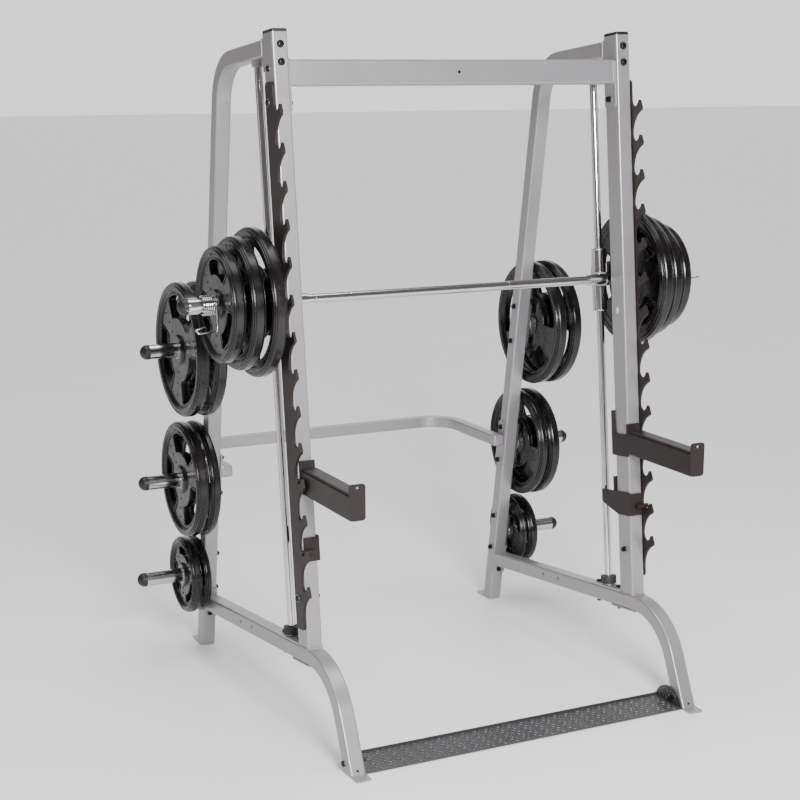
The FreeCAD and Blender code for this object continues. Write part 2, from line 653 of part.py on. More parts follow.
def make_foot_bar(holes):
    """Low tread plate between the front legs; its ends fold up into bolting tabs."""
    half = D.gap_half - D.tread_gap
    depth = D.tread_rear - D.tread_front
    deck = box("tread_deck", (str(2 * half), "dims.tread_rear - dims.tread_front", "dims.tread_thick"),
               (str(-half), "dims.tread_front", "2"))
    lip = box("tread_lip", (str(2 * half), "dims.tread_thick", "10"),
              (str(-half), "dims.tread_rear - dims.tread_thick", "2"))
    base = D.foot_thick + 1
    start = Vector(0, D.tread_front, base)
    crown = Vector(0, D.tread_front + depth / 2, base + 52)
    finish = Vector(0, D.tread_rear, base)
    drop = Vector(0, 0, D.tread_thick)
    edges = [Part.Arc(start, crown, finish).toShape(),
             Part.LineSegment(finish, finish - drop).toShape(),
             Part.LineSegment(finish - drop, start - drop).toShape(),
             Part.LineSegment(start - drop, start).toShape()]
    tab_shape = Part.Face(Part.Wire(edges)).extrude(Vector(D.tread_thick, 0, 0))
    tab = feature("tread_tab", tab_shape, Placement(Vector(half - D.tread_thick, 0, 0), Rotation()))
    whole = fuse("tread_welded", [deck, lip, tab, mirror("tread_tab_left", tab)])
    keep(cut("tread_drilled", whole, [holes]), "foot_bar")


# ---------------------------------------------------------------- carriage and bar

def make_carriage():
    """Bearing housings on the rods; two lugs on each carry the bar."""
    x = "dims.gap_half + dims.tube / 2"
    low = "dims.bar_h - 106"
    tube = rod("housing_tube", "dims.housing_dia / 2", "dims.housing_len", (x, "dims.rod_b", low))
    solids = [tube]
    for name, start in (("inner", "dims.lug_inner_x"), ("outer", "dims.lug_outer_x")):
        arm = box(f"lug_{name}_arm", ("dims.lug_thick", "dims.rod_b - dims.bar_b - 8", "2 * dims.lug_radius"),
                  (start, "dims.bar_b", "dims.bar_h - dims.lug_radius"))
        eye = rod(f"lug_{name}_eye", "dims.lug_radius", "dims.lug_thick",
                  (start, "dims.bar_b", "dims.bar_h"), "x")
        solids += [arm, eye]
    bore = rod("housing_bore", "dims.bearing_dia / 2", "dims.housing_len + 2",
               (x, "dims.rod_b", low + " - 1"))
    bar_bore = rod("lug_bore", "(dims.bar_dia + dims.running) / 2", "80",
                   ("dims.lug_inner_x - 10", "dims.bar_b", "dims.bar_h"), "x")
    housing = cut("housing", fuse("housing_welded", solids), [bore, bar_bore])
    keep(housing, "right_carriage", RACK)
    keep(mirror("carriage_left", housing), "left_carriage")

    sleeves = []
    for name, start in (("lower", "dims.bar_h - 104"), ("upper", "dims.bar_h + 96 - dims.bearing_len")):
        skin = rod(f"bearing_{name}_skin", "dims.bearing_dia / 2 - 0.05", "dims.bearing_len",
                   (x, "dims.rod_b", start))
        hole = rod(f"bearing_{name}_bore", "(dims.rod_dia + dims.running) / 2", "dims.bearing_len + 2",
                   (x, "dims.rod_b", start + " - 1"))
        sleeves.append(cut(f"bearing_{name}", skin, [hole]))
    pair = group("bearing_pair", sleeves)
    keep(pair, "right_linear_bearings", RACK)
    keep(mirror("bearings_left", pair), "left_linear_bearings")


def domed_cap(name, radius, start, end, dome, spot):
    """A round plastic cap along X: a short cylinder whose outer end is part of a sphere."""
    body = rod(name + "_body", radius, f"{end} - ({start})", (start, *spot), "x")
    ball = doc.addObject("Part::Sphere", name + "_ball")
    ball.Placement = Placement(Vector(), AXES["x"])
    bend = f"(({radius}) ^ 2 + {dome} ^ 2) / {2 * dome}"
    bind(ball, Radius=bend, Placement__Base__x=f"{end} - {bend}", Placement__Base__y=spot[0],
         Placement__Base__z=spot[1])
    obj = doc.addObject("Part::Common", name)
    obj.Base = body
    obj.Tool = ball
    return obj


def make_bar():
    """Bar with its collars, loading sleeves, end caps and latch fingers."""
    spot = ("dims.bar_b", "dims.bar_h")
    shaft = rod("bar_shaft", "dims.bar_dia / 2", "2 * (dims.sleeve_out - 1)",
                ("1 - dims.sleeve_out", *spot), "x")
    collar = rod("bar_collar", "dims.collar_dia / 2", "64", ("505", *spot), "x")
    keep(fuse("bar_welded", [shaft, collar, mirror("bar_collar_left", collar)]), "bar", RACK)

    tube = rod("sleeve_tube", "dims.sleeve_dia / 2", "dims.sleeve_out - 620", ("620", *spot), "x")
    stop = rod("sleeve_stop", "34", "10", ("dims.sleeve_in - 10", *spot), "x")
    bore = rod("sleeve_bore", "dims.bar_dia / 2", "400", ("600", *spot), "x")
    sleeve = cut("sleeve", fuse("sleeve_welded", [tube, stop]), [bore])
    keep(sleeve, "right_bar_sleeve", RACK)
    keep(mirror("sleeve_left", sleeve), "left_bar_sleeve")

    cap = domed_cap("bar_cap", "dims.sleeve_dia / 2", "dims.sleeve_out", "dims.bar_half + 3", 20, spot)
    keep(group("bar_caps", [cap, mirror("bar_cap_left", cap)]), "bar_end_caps", RACK)

    start = "dims.gap_half + (dims.tube - dims.finger_wide) / 2"
    hub = rod("finger_hub", "20", "dims.finger_wide", (start, *spot), "x")
    arm = box("finger_arm", ("dims.finger_wide", "dims.finger_thick", "dims.finger_reach"),
              (start, "dims.bar_b - dims.finger_thick / 2", "dims.bar_h"))
    nose = box("finger_nose", ("dims.finger_wide", "dims.nose + 2", "10"),
               (start, "dims.bar_b - dims.finger_thick / 2 - dims.nose",
                "dims.bar_h + dims.finger_reach - 10"))
    hook = rounded("finger_round", fuse("finger_solid", [arm, nose]), 2.5, Vector(1, 0, 0))
    bore = rod("finger_bore", "dims.bar_dia / 2", "40", ("580", *spot), "x")
    finger = cut("finger", fuse("finger_welded", [hub, hook]), [bore])
    keep(finger, "right_latch_hook", RACK)
    keep(mirror("finger_left", finger), "left_latch_hook")


def wire_run(points, radius):
    """A bent wire: straight rods with a ball at every corner after the first."""
    balls = [Part.makeSphere(radius, spot) for spot in points[1:]]
    rods = [Part.makeCylinder(radius, (finish - start).Length, start, finish - start)
            for start, finish in zip(points, points[1:])]
    return rods[0].fuse(rods[1:] + balls)


def make_spring_collars():
    """Spring clips: a wire coil round the sleeve with two looped handles."""
    wire = D.wire_dia / 2
    coil_radius = D.sleeve_dia / 2 + wire + 0.5
    pitch, turns = D.wire_dia + 1.2, 5
    helix = Part.makeHelix(pitch, pitch, coil_radius)
    ring = Part.Wire([Part.makeCircle(wire, Vector(coil_radius, 0, 0), Vector(0, 1, 0))])
    one_turn = Part.Wire(helix).makePipeShell([ring], True, True)
    coil = one_turn.fuse([one_turn.translated(Vector(0, 0, pitch * k)) for k in range(1, turns)])
    tall = pitch * turns
    reach = D.wire_dia + 2
    front = coil_radius + 8
    drop = wire_run([Vector(coil_radius, 0, 0), Vector(coil_radius, -reach, 0), Vector(front, -2, -4),
                     Vector(front, 58, -4), Vector(front, 76, 2), Vector(front + 2, 80, 58),
                     Vector(front - 12, 70, 62), Vector(front - 14, 64, 30)], wire + 0.1)
    push = wire_run([Vector(coil_radius, 0, tall), Vector(coil_radius, reach, tall),
                     Vector(front + 26, 14, tall + 2), Vector(front + 34, 14, tall - 8),
                     Vector(front + 34, 12, tall + 60), Vector(front + 20, 8, tall + 64)], wire + 0.1)
    shape = coil.fuse([drop, push])
    turn = Rotation(Vector(0, -1, 0), Vector(0, 0, 1), Vector(1, 0, 0), "ZXY")
    spot = Placement(Vector(D.clip_x, D.bar_b, D.bar_h), turn)
    right = feature("spring_clip", shape)
    keep(right, "right_spring_collar", RACK.multiply(spot))
    keep(mirror("spring_clip_left", right), "left_spring_collar")


# ---------------------------------------------------------------- weight plates

def plate_profile(radius, thick):
    """Half section of a plate, as radius and height pairs: hub, web and stepped rim."""
    hub = 0.1 * radius + 25
    rim = radius - max(0.14 * radius, 24)
    half = thick / 2
    web = max(3, half - 9.5)
    bore = D.plate_bore / 2
    face = [
        (bore, half - 1),
        (hub, half - 1),
        (hub + 5, web),
        (rim - 3, web),
        (rim + 3, half - 1.5),
        (rim + 8, half),
        (radius - 12, half),
        (radius - 11, half - 2.5),
        (radius - 6, half - 3),
        (radius - 5, half - 6.5),
        (radius - 1.5, half - 8),
        (radius, half - 11),
    ]
    return face + [(r, -z) for r, z in reversed(face)]


def make_plate(label, radius, thick, slot_in, slot_out, slot_half, place):
    """One rubber-coated plate about its own axis, with three grip openings."""
    body = doc.addObject("PartDesign::Body", label + "_body")
    planes = {f.Role: f for f in body.Origin.OriginFeatures}
    section = body.newObject("Sketcher::SketchObject", label + "_section")
    section.AttachmentSupport = [(planes["XZ_Plane"], "")]
    section.MapMode = "FlatFace"
    points = [Vector(r, z, 0) for r, z in plate_profile(radius, thick)]
    count = len(points)
    for k, point in enumerate(points):
        section.addGeometry(Part.LineSegment(point, points[(k + 1) % count]))
    for k in range(count):
        section.addConstraint(Sketcher.Constraint("Coincident", k, 2, (k + 1) % count, 1))
    for k in (0, count - 1):
        index = section.addConstraint(Sketcher.Constraint("DistanceX", -1, 1, k, 1, points[k].x))
        section.setExpression(f"Constraints[{index}]", "dims.plate_bore / 2")
    disc = body.newObject("PartDesign::Revolution", label + "_disc")
    disc.Profile = section
    disc.ReferenceAxis = (section, ["V_Axis"])
    disc.Angle = 360
    opening = body.newObject("Sketcher::SketchObject", label + "_opening")
    opening.AttachmentSupport = [(planes["XY_Plane"], "")]
    opening.MapMode = "FlatFace"
    low, high = math.radians(90 - slot_half), math.radians(90 + slot_half)
    inner, outer = slot_in * radius, slot_out * radius
    ends = [Vector(r * math.cos(a), r * math.sin(a), 0)
            for r, a in ((inner, low), (outer, low), (outer, high), (inner, high))]
    centre = Vector()
    opening.addGeometry(Part.ArcOfCircle(Part.Circle(centre, Vector(0, 0, 1), outer), low, high))
    opening.addGeometry(Part.LineSegment(ends[2], ends[3]))
    opening.addGeometry(Part.ArcOfCircle(Part.Circle(centre, Vector(0, 0, 1), inner), low, high))
    opening.addGeometry(Part.LineSegment(ends[0], ends[1]))
    for first, first_end, second, second_end in ((0, 2, 1, 1), (1, 2, 2, 2), (2, 1, 3, 1), (3, 2, 0, 1)):
        opening.addConstraint(Sketcher.Constraint("Coincident", first, first_end, second, second_end))
    grip = body.newObject("PartDesign::Pocket", label + "_grip")
    grip.Profile = opening
    grip.Type = "ThroughAll"
    grip.Midplane = True
    ring = body.newObject("PartDesign::PolarPattern", label + "_grips")
    ring.Originals = [grip]
    ring.Axis = (planes["Z_Axis"], [""])
    ring.Angle = 360
    ring.Occurrences = 3
    body.Tip = ring
    doc.recompute()
    names = []
    for index, edge in enumerate(ring.Shape.Edges, start=1):
        if edge.Curve.TypeId != "Part::GeomLine":
            continue
        run = edge.Vertexes[1].Point - edge.Vertexes[0].Point
        if abs(run.x) < 1e-6 and abs(run.y) < 1e-6:
            names.append(f"Edge{index}")
    softened = body.newObject("PartDesign::Fillet", label + "_softened")
    softened.Base = (ring, names)
    softened.Radius = 0.055 * radius
    body.Tip = softened
    doc.recompute()
    keep(body, label, place)
    return body


BAR_PLATES = (("inner", 225, 41, 677, (0.50, 0.80, 33)), ("middle", 200, 41, 732, (0.50, 0.79, 33)),
              ("outer", 175, 40, 784, (0.50, 0.78, 34)))
PEG_PLATES = (
    ("upper", "inner", 225, 41, 645, (0.46, 0.82, 40)), ("upper", "outer", 225, 41, 706.5, (0.46, 0.82, 40)),
    ("mid", "inner", 200, 32.5, 640.3, (0.46, 0.81, 40)), ("mid", "outer", 200, 41, 687.5, (0.46, 0.81, 40)),
    ("low", "inner", 135, 22.5, 635.3, (0.52, 0.76, 36)), ("low", "outer", 135, 36, 675, (0.52, 0.76, 36)),
)
FACE_OUT = Rotation(Vector(0, 1, 0), Vector(0, 0, 1), Vector(1, 0, 0), "ZXY")


def make_plates():
    for side, sign in SIDES:
        for name, radius, thick, middle, grip in BAR_PLATES:
            spot = RACK.multVec(Vector(sign * middle, D.bar_b, D.bar_h))
            spin = Rotation(Vector(1, 0, 0), 8 if name == "outer" else 25)
            make_plate(f"{side}_bar_plate_{name}", radius, thick, *grip,
                       Placement(spot, spin.multiply(FACE_OUT)))
        for level, name, radius, thick, middle, grip in PEG_PLATES:
            y, z = next((y, z) for peg, y, z in PEGS if peg == level)
            spin = Rotation(Vector(1, 0, 0), 12 if name == "outer" else 50)
            make_plate(f"{side}_{level}_plate_{name}", radius, thick, *grip,
                       Placement(Vector(sign * middle, y, z), spin.multiply(FACE_OUT)))


def make_pegs(holes):
    """Three chrome storage pegs on each rear leg, with domed plastic caps."""
    pegs, caps = [], []
    tall = D.peg_plate_tall
    root = "dims.gap_half + dims.tube"
    length = f"dims.peg_tip - dims.peg_cap - ({root})"
    for name, y, z in PEGS:
        tube = rod(f"peg_{name}", "dims.peg_dia / 2", length, (root, y, z), "x")
        hollow = rod(f"peg_{name}_bore", "dims.peg_dia / 2 - dims.wall", length,
                     (root + " + dims.flange", y, z), "x")
        flange = welded_plate(f"peg_{name}_flange", tall, D.gap_half + D.tube, -tall / 2, (y, z))
        pegs.append(cut(f"peg_{name}_hollow", fuse(f"peg_{name}_welded", [tube, flange]), [hollow]))
        start = "dims.peg_tip - dims.peg_cap"
        dome = domed_cap(f"peg_{name}_dome", "dims.peg_dia / 2", start, "dims.peg_tip", 20, (y, z))
        plug = rod(f"peg_{name}_plug", "dims.peg_dia / 2 - dims.wall - 0.2", "12",
                   (start + " - 12", y, z), "x")
        caps.append(fuse(f"peg_{name}_cap", [dome, plug]))
    right = cut("pegs_drilled", group("pegs_right", pegs), [holes])
    keep(right, "right_storage_pegs")
    keep(mirror("pegs_left", right), "left_storage_pegs")
    right_caps = group("peg_caps_right", caps)
    keep(group("peg_caps", [right_caps, mirror("peg_caps_left", right_caps)]), "peg_end_caps")


# ---------------------------------------------------------------- spotter arms and stops

def side_plate(name, outline):
    """The bracket cheek against the upright's inner face, from its outline in the rack frame."""
    points = [Vector(0, b, h) for b, h in outline]
    face = Part.Face(Part.makePolygon(points + points[:1]))
    cheek = face.extrude(Vector(D.cheek_thick, 0, 0))
    cheek = cheek.makeFillet(6, [e for e in cheek.Edges if e.BoundBox.XLength > 1])
    inner = Vector(D.gap_half - D.catch_gap - D.cheek_thick, 0, 0)
    return feature(name, cheek, RACK.multiply(Placement(inner, Rotation())))


def catch_bracket(name, cheek_outline, front_low, front_high, tongue_low, tongue_high, notch):
    """Front plate, cheek, tongue behind the upright and the pin that sits in a notch."""
    gap, thick = D.catch_gap, D.catch_thick
    inner = D.gap_half - gap - D.cheek_thick
    outer = D.gap_half + D.tube - 6
    pin_h = D.hook_top - notch * D.pitch + D.pin_dia / 2 + 0.8
    front = rack_box(name + "_front", (outer - inner, thick, front_high - front_low),
                     (inner, -gap - thick, front_low))
    tongue = rack_box(name + "_tongue", (32, 9, tongue_high - tongue_low),
                      (inner, D.upright_depth + 3, tongue_low))
    pin = Part.makeCylinder(D.pin_dia / 2, 44, Vector(outer - 27, -15.5, pin_h), Vector(1, 0, 0))
    return [front, side_plate(name + "_cheek", cheek_outline), tongue, feature(name + "_pin", pin, RACK)]


def make_spotter_arms():
    """Level arms that hook over the uprights."""
    cheek = [(-8, 473), (88, 473), (88, 623), (72, 623), (66, 547), (-8, 547)]
    pieces = catch_bracket("arm", cheek, 505, 583, 500, 623, 10)
    reach = -430 - D.arm_front
    skin = box("arm_skin", ("dims.tube", str(reach), "dims.arm_tall"),
               ("dims.gap_half - dims.arm_shift", "dims.arm_front", "dims.arm_z"))
    skin_round = rounded("arm_round", skin, D.corner, Vector(0, 1, 0))
    hollow = box("arm_hollow",
                 ("dims.tube - 2 * dims.wall", str(reach + 20), "dims.arm_tall - 2 * dims.wall"),
                 ("dims.gap_half - dims.arm_shift + dims.wall", "dims.arm_front - 10",
                  "dims.arm_z + dims.wall"))
    trim = rack_box("arm_trim", (200, 300, 400), (500, -4, 350))
    tube = cut("arm_tube", skin_round, [hollow, trim])
    strip = box("arm_strip", ("dims.tube - 4", "335", "6"),
                ("dims.gap_half - dims.arm_shift + 2", "dims.arm_front", "dims.arm_z + dims.arm_tall"))
    strip_round = rounded("arm_strip_round", strip, 2, Vector(0, 1, 0))
    end = box("arm_end", ("dims.tube", "6", "107.5"),
              ("dims.gap_half - dims.arm_shift", "dims.arm_front - 6", "dims.arm_z"))
    end_round = rounded("arm_end_round", end, 10, Vector(0, 1, 0))
    ear = rod("arm_ear_hole", "5", "20",
              ("dims.gap_half + dims.tube / 2 - dims.arm_shift", "dims.arm_front - 12",
               "dims.arm_z + 95"), "y")
    right = cut("arm_welded", fuse("arm_solid", pieces + [tube, strip_round, end_round]), [ear])
    keep(right, "right_spotter_arm")
    keep(mirror("arm_left", right), "left_spotter_arm")


def make_safety_stops():
    """Short stops under the bar, on the same kind of bracket."""
    cheek = [(-8, 273), (66, 273), (160, 305), (160, 349), (88, 350.5), (-8, 352)]
    pieces = catch_bracket("stop", cheek, 274, 347, 300, 399, 12)
    right = fuse("stop_welded", pieces)
    keep(right, "right_safety_stop")
    keep(mirror("stop_left", right), "left_safety_stop")


# ---------------------------------------------------------------- assembly

list_bolts()
bolt_holes = make_fasteners()
make_uprights(bolt_holes)
make_upright_caps()
make_rear_frames(bolt_holes)
make_base_frames(bolt_holes)
make_crossbeam(bolt_holes)
make_brace(bolt_holes)
make_racks(bolt_holes)
make_guides(bolt_holes)
make_foot_bar(bolt_holes)
make_pegs(bolt_holes)
make_carriage()
make_bar()
make_spring_collars()
make_plates()
make_spotter_arms()
make_safety_stops()

doc.recompute()
faults = [obj.Name for obj in doc.Objects if "Invalid" in obj.State or "Error" in obj.State]
for obj in parts:
    if obj.Shape.isNull() or not obj.Shape.isValid():
        faults.append(obj.Label)
if faults:
    raise SystemExit("failed objects: " + ", ".join(faults))

os.makedirs("parts", exist_ok=True)
for obj in parts:
    obj.Shape.exportStep(f"parts/{obj.Label}.step")
    solids = len(obj.Shape.Solids)
    print(f"{obj.Label}: {solids} solid(s), {obj.Shape.Volume / 1000:.1f} cm3")
print(len(parts), "sub-parts")
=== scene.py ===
import json
import math

import bmesh
import bpy
from mathutils import Matrix, Vector


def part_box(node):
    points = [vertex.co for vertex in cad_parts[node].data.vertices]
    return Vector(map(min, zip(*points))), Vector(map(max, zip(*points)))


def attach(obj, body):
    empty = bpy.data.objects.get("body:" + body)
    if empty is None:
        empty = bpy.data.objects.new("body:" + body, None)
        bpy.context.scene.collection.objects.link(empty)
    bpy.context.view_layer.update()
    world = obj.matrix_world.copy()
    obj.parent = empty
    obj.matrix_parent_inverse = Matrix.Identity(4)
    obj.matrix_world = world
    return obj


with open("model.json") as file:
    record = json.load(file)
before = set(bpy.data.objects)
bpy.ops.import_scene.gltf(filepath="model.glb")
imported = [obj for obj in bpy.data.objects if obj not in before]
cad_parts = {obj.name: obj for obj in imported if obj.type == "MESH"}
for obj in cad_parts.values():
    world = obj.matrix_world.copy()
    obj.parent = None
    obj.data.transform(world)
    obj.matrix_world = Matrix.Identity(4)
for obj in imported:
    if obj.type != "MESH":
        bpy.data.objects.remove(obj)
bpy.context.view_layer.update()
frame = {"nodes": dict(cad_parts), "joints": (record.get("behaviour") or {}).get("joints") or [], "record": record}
SIDES = (("left", -1), ("right", 1))
MM = 0.001
WORLD_STRENGTH = 2.0
HEADING = math.radians(27.06)    # of the camera, from +Y towards +X

# Sizes in millimetres, in the rack's own frame where they give a place.
ROD_BEHIND = 183                 # guide rod's axis behind the upright's face
ROD_X = 592
HOUSING_ENDS = ((954, -1), (1158, 1))    # height along the rod, and which way the end faces
UPRIGHT_X = (566, 618)           # inner and outer face, where the bead runs
BEAD_CUT = 5                     # corner taken off each weld loop
BEAM_WELD_X = 560.5


# ---------------------------------------------------------------- places read from the frame

JOINTS = {joint["name"]: joint for joint in frame["joints"]}
UP = Vector(JOINTS["carriage_slide"]["axis"]).normalized()     # along the uprights
BACK = Vector((0, UP.z, -UP.y))                                # square to the uprights, rearward


def middle(node):
    low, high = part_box(node)
    return (low + high) / 2


def rack_origin():
    """Foot of an upright's front face, found from the guide rod that stands behind it."""
    rod_radius, rod_behind, rod_lift = 12.5 * MM, ROD_BEHIND * MM, 6 * MM
    low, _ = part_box("right_guide_rod")
    foot = Vector((0, low.y + rod_radius * UP.z, low.z + rod_radius * UP.y))
    return foot - BACK * rod_behind - UP * rod_lift


ORIGIN = rack_origin()


def rack(x, behind, height):
    """A point given in millimetres along X, behind the upright's face, and up the upright."""
    return ORIGIN + Vector((x * MM, 0, 0)) + BACK * (behind * MM) + UP * (height * MM)


# ---------------------------------------------------------------- materials

class Shader:
    """One node material with a few helpers for building it."""

    def __init__(self, name):
        self.material = bpy.data.materials.new(name)
        self.material.use_nodes = True
        self.tree = self.material.node_tree
        self.tree.nodes.clear()
        self.bsdf = self.add("ShaderNodeBsdfPrincipled")
        output = self.add("ShaderNodeOutputMaterial")
        self.join(self.bsdf.outputs["BSDF"], output.inputs["Surface"])
        self.place = self.add("ShaderNodeTexCoord").outputs["Object"]

    def add(self, kind, **values):
        node = self.tree.nodes.new(kind)
        for name, value in values.items():
            setattr(node, name, value)
        return node

    def join(self, source, target):
        self.tree.links.new(source, target)

    def plain(self, **values):
        """Constant values, set on the shader's own sockets."""
        for name, value in values.items():
            self.bsdf.inputs[name.replace("_", " ")].default_value = value

    def noise(self, scale, detail=3, roughness=0.55, stretch=None):
        node = self.add("ShaderNodeTexNoise")
        node.inputs["Scale"].default_value = scale
        node.inputs["Detail"].default_value = detail
        node.inputs["Roughness"].default_value = roughness
        source = self.place
        if stretch:
            mapping = self.add("ShaderNodeMapping")
            mapping.inputs["Scale"].default_value = stretch
            self.join(self.place, mapping.inputs["Vector"])
            source = mapping.outputs["Vector"]
        self.join(source, node.inputs["Vector"])
        return node.outputs["Fac"]

    def cells(self, scale, feature="F1"):
        node = self.add("ShaderNodeTexVoronoi", feature=feature)
        node.inputs["Scale"].default_value = scale
        self.join(self.place, node.inputs["Vector"])
        return node.outputs["Distance"]

    def ramp(self, source, stops):
        """A colour ramp; each stop is a position and a grey or a colour."""
        node = self.add("ShaderNodeValToRGB")
        elements = node.color_ramp.elements
        while len(elements) < len(stops):
            elements.new(0.5)
        for element, (position, colour) in zip(elements, stops):
            element.position = position
            if not isinstance(colour, tuple):
                colour = (colour, colour, colour)
            element.color = (*colour, 1)
        self.join(source, node.inputs["Fac"])
        return node.outputs["Color"]

    def mix(self, factor, first, second, blend="MIX"):
        node = self.add("ShaderNodeMix", data_type="RGBA", blend_type=blend)
        sockets = (node.inputs[0], node.inputs[6], node.inputs[7])
        for socket, value in zip(sockets, (factor, first, second)):
            if isinstance(value, bpy.types.NodeSocket):
                self.join(value, socket)
            elif isinstance(value, tuple):
                socket.default_value = (*value, 1)
            else:
                socket.default_value = value
        return node.outputs[2]

    def relief(self, *layers):
        """Stacks bumps, each a height, a strength and a distance."""
        normal = None
        for height, strength, distance in layers:
            bump = self.add("ShaderNodeBump")
            bump.inputs["Strength"].default_value = strength
            bump.inputs["Distance"].default_value = distance
            self.join(height, bump.inputs["Height"])
            if normal is not None:
                self.join(normal, bump.inputs["Normal"])
            normal = bump.outputs["Normal"]
        self.join(normal, self.bsdf.inputs["Normal"])

    def colour(self, source):
        self.join(source, self.bsdf.inputs["Base Color"])

    def roughness(self, source, low, high):
        self.join(self.ramp(source, ((0.3, low), (0.7, high))), self.bsdf.inputs["Roughness"])


def powder_coat(name, base, shade, light, metallic, rough, grain=0.08):
    """Baked powder paint: fine orange peel, bright flake and a slow drift of tone."""
    shader = Shader(name)
    drift = shader.noise(5, 4)
    tone = shader.ramp(drift, ((0.2, shade), (0.8, base)))
    flake = shader.noise(2600, 1)
    sparkle = shader.ramp(flake, ((0.5, 0.0), (0.75, 0.12)))
    shader.colour(shader.mix(sparkle, tone, light))
    shader.roughness(shader.noise(12, 3), rough - 0.02, rough + 0.03)
    shader.plain(Metallic=metallic, Specular_IOR_Level=0.3)
    shader.relief((shader.noise(420, 2), grain, 0.15 * MM))
    return shader.material


def chrome(name, tint, rough):
    """Polished plating with faint smears and hairline scratches along X."""
    shader = Shader(name)
    smear = shader.noise(24, 5)
    shader.colour(shader.ramp(smear, ((0.3, tuple(0.9 * c for c in tint)), (0.7, tint))))
    hair = shader.noise(60, 3, stretch=(0.3, 24, 24))
    shader.roughness(hair, rough, rough + 0.06)
    shader.plain(Metallic=1.0)
    shader.relief((hair, 0.02, 0.05 * MM))
    return shader.material


def brushed(name, tint, rough):
    """Zinc-plated steel with a cloudy spangle."""
    shader = Shader(name)
    cloud = shader.cells(160)
    shader.colour(shader.ramp(cloud, ((0.1, tuple(0.72 * c for c in tint)), (0.8, tint))))
    shader.roughness(shader.noise(300, 3), rough, rough + 0.16)
    shader.plain(Metallic=0.9)
    shader.relief((shader.noise(700, 2), 0.1, 0.1 * MM))
    return shader.material


def coated_rubber(name, base, dust, rough, grain):
    """Moulded rubber skin: pebbled, a little chalky in patches and glossy where the mould was smooth."""
    shader = Shader(name)
    patch = shader.noise(9, 6, 0.65)
    skin = shader.ramp(patch, ((0.42, base), (0.72, dust)))
    speck = shader.ramp(shader.noise(1500, 2), ((0.4, 0.8), (0.6, 1.0)))
    shader.colour(shader.mix(0.6, skin, speck, "MULTIPLY"))
    shader.roughness(shader.noise(30, 5), rough - 0.06, rough + 0.1)
    shader.plain(Specular_IOR_Level=0.5)
    pebble = shader.cells(520, "SMOOTH_F1")
    shader.relief((pebble, grain, 0.2 * MM), (patch, 0.12, 0.8 * MM))
    return shader.material


def plastic(name, base, rough):
    """Injection-moulded plastic with a fine etched grain and flow marks."""
    shader = Shader(name)
    flow = shader.noise(18, 4)
    shader.colour(shader.ramp(flow, ((0.3, base), (0.75, tuple(1.7 * c for c in base)))))
    shader.roughness(shader.noise(60, 4), rough, rough + 0.12)
    shader.relief((shader.cells(900), 0.12, 0.1 * MM))
    return shader.material


SILVER = powder_coat("silver_paint", base=(0.335, 0.326, 0.342), shade=(0.31, 0.299, 0.311),
                     light=(0.52, 0.51, 0.54), metallic=0.55, rough=0.33)
CHARCOAL = powder_coat("rack_paint", base=(0.020, 0.0135, 0.012), shade=(0.014, 0.0098, 0.009),
                       light=(0.08, 0.07, 0.07), metallic=0.1, rough=0.5, grain=0.2)
PLUM = powder_coat("arm_paint", base=(0.020, 0.013, 0.013), shade=(0.014, 0.009, 0.010),
                   light=(0.07, 0.06, 0.065), metallic=0.1, rough=0.44)
CHROME = chrome("chrome", (0.62, 0.61, 0.63), 0.09)
ZINC = brushed("zinc", (0.45, 0.45, 0.47), 0.26)
BLACK_STEEL = powder_coat("black_steel", base=(0.008, 0.008, 0.009), shade=(0.004, 0.004, 0.005),
                          light=(0.05, 0.05, 0.05), metallic=0.2, rough=0.3)
PLATE_RUBBER = coated_rubber("coated_iron", base=(0.0026, 0.0018, 0.0020),
                             dust=(0.0052, 0.0036, 0.0036), rough=0.24, grain=0.10)
BUMPER_RUBBER = coated_rubber("bumper_rubber", base=(0.020, 0.019, 0.019),
                              dust=(0.036, 0.034, 0.034), rough=0.6, grain=0.3)
BLACK_PLASTIC = plastic("black_plastic", (0.006, 0.005, 0.005), 0.36)
WHITE_PLASTIC = plastic("white_plastic", (0.55, 0.54, 0.52), 0.4)
TREAD = powder_coat("tread_plate", base=(0.075, 0.076, 0.080), shade=(0.058, 0.059, 0.062),
                    light=(0.20, 0.20, 0.21), metallic=0.5, rough=0.42, grain=0.2)
TREAD_CREST = powder_coat("tread_crest", base=(0.17, 0.172, 0.178), shade=(0.12, 0.122, 0.126),
                          light=(0.4, 0.4, 0.41), metallic=0.7, rough=0.34)

MATERIALS = {
    "silver_paint": SILVER, "rack_paint": CHARCOAL, "arm_paint": PLUM, "chrome": CHROME,
    "zinc": ZINC, "black_steel": BLACK_STEEL, "coated_iron": PLATE_RUBBER,
    "bumper_rubber": BUMPER_RUBBER, "black_plastic": BLACK_PLASTIC, "tread_plate": TREAD,
}


def dress_nodes():
    """Gives every CAD node the detailed material of its slot in the record."""
    for part in frame["record"]["subparts"]:
        obj = frame["nodes"][part["node"]]
        for slot in obj.material_slots:
            slot.material = MATERIALS[part["material_slot"]]


# ---------------------------------------------------------------- mesh helpers

def finish_piece(mesh, name, material, body):
    """Turns a bmesh into a piece that rides on a body."""
    bmesh.ops.recalc_face_normals(mesh, faces=mesh.faces)
    data = bpy.data.meshes.new(name)
    mesh.to_mesh(data)
    mesh.free()
    for face in data.polygons:
        face.use_smooth = True
    data.materials.append(material)
    piece = bpy.data.objects.new(name, data)
    bpy.context.scene.collection.objects.link(piece)
    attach(piece, body)
    return piece


